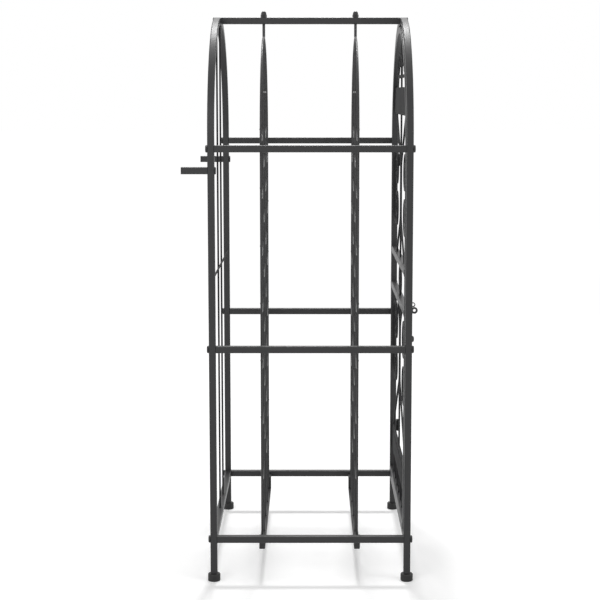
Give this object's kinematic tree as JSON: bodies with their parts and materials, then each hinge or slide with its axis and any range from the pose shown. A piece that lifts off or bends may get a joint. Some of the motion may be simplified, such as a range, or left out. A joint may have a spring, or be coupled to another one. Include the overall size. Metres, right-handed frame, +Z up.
{
  "type": "lockable bottle cage",
  "caption": "Arched black steel bottle cage with wire grids for lying bottles, a hinged scrollwork door with padlock eyes, wall arms and round feet.",
  "frame": {"origin": "floor level, under the middle of the overall box", "axes": "+Z up, +X out of the door, +Y to the right of someone facing the door"},
  "size_m": [0.4094, 0.46, 1.012],
  "materials": {
    "black_coat": "satin powder coat",
    "black_fasteners": "gloss black",
    "plain_steel": "dark oiled",
    "black_plastic": "moulded matte"
  },
  "bodies": {
    "cage": {"acorn_nuts": "black_fasteners", "arm_bolts": "black_fasteners", "arm_end_caps": "black_plastic", "arm_end_nuts": "plain_steel", "frame_lock_eye": "black_coat", "front_arch": "black_coat", "front_bottom_rail": "black_coat", "front_grid_arch": "black_coat", "front_grid_base": "black_coat", "front_grid_rungs": "black_coat", "front_grid_stud": "plain_steel", "front_grid_uprights": "black_coat", "front_left_foot": "black_plastic", "front_right_foot": "black_plastic", "left_lower_rail": "black_coat", "left_middle_rail": "black_coat", "left_upper_rail": "black_coat", "left_wall_arm": "black_coat", "lower_hinge_frame_knuckle": "black_coat", "lower_hinge_pin": "plain_steel", "rail_bolts": "black_fasteners", "rail_end_nuts": "plain_steel", "rear_arch": "black_coat", "rear_bottom_rail": "black_coat", "rear_cross_rod": "black_coat", "rear_grid_arch": "black_coat", "rear_grid_base": "black_coat", "rear_grid_rungs": "black_coat", "rear_grid_stud": "plain_steel", "rear_grid_uprights": "black_coat", "rear_left_foot": "black_plastic", "rear_left_rod": "black_coat", "rear_right_foot": "black_plastic", "rear_right_rod": "black_coat", "right_lower_rail": "black_coat", "right_middle_rail": "black_coat", "right_upper_rail": "black_coat", "right_wall_arm": "black_coat", "top_rail": "black_coat", "upper_hinge_frame_knuckle": "black_coat", "upper_hinge_pin": "plain_steel"},
    "door": {"door_arch_frame": "black_coat", "door_band_plate": "black_coat", "door_bottom_rail": "black_coat", "door_kick_band": "black_coat", "door_knob": "black_coat", "door_lock_eye": "black_coat", "door_lower_lock_rail": "black_coat", "door_lower_scroll": "black_coat", "door_rosette": "black_coat", "door_side_scrolls": "black_coat", "door_top_scroll": "black_coat", "door_upper_lock_rail": "black_coat", "door_upper_scroll": "black_coat", "lower_hinge_door_knuckle": "black_coat", "upper_hinge_door_knuckle": "black_coat"}
  },
  "joints": [
    {"name": "door_swing", "type": "hinge", "parent": "cage", "child": "door", "pos_m": [0.19953, 0.2105, 0.18], "axis": [0, 0, 1], "range_deg": [0, 165]}
  ]
}
